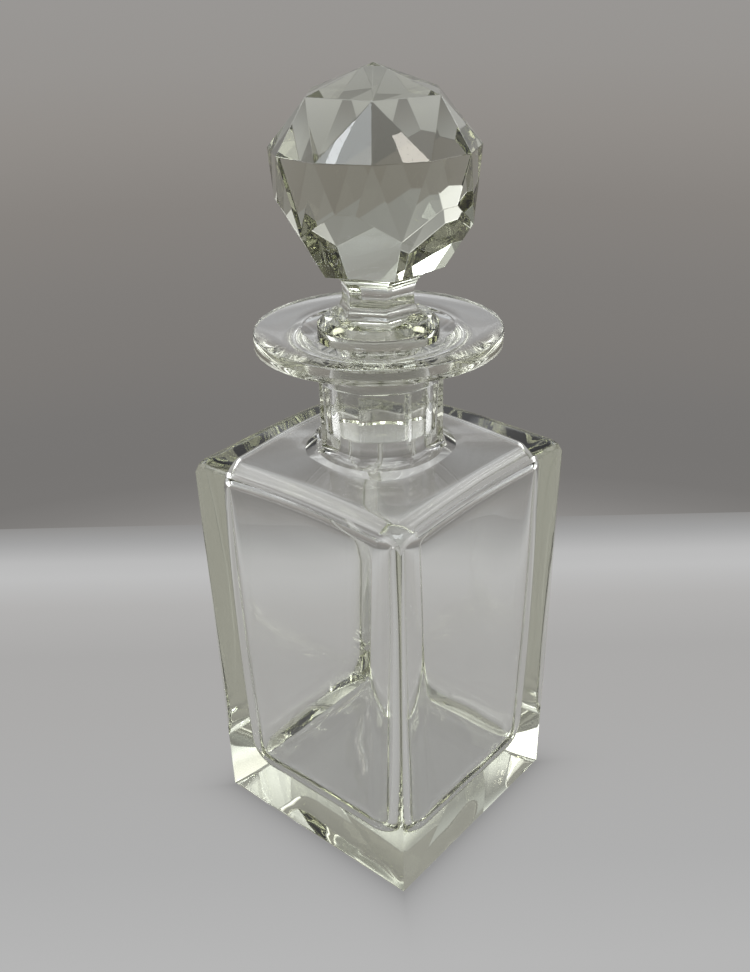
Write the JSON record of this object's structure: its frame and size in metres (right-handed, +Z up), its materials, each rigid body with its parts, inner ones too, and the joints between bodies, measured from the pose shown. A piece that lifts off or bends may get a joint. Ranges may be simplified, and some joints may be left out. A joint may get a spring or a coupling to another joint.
{
  "type": "wine decanter",
  "caption": "Square cut-glass wine decanter with a panelled neck, a wide flat rim and a lift-out stopper with a faceted ball.",
  "frame": {"origin": "centre of the base, on the face that it rests on", "axes": "+Z up along the neck; the flat sides of the body face +X, -X, +Y and -Y"},
  "size_m": [0.0828, 0.0828, 0.2482],
  "materials": {
    "clear_crystal": "polished flats, fire-polished shoulder, ground bore",
    "cut_crystal": "polished facets, ground peg"
  },
  "bodies": {
    "decanter": {"decanter": "clear_crystal"},
    "stopper": {"stopper": "cut_crystal"}
  },
  "joints": [
    {"name": "stopper_lift", "type": "slide", "parent": "decanter", "child": "stopper", "axis": [0, 0, 1], "range_m": [0, 0.045]}
  ]
}
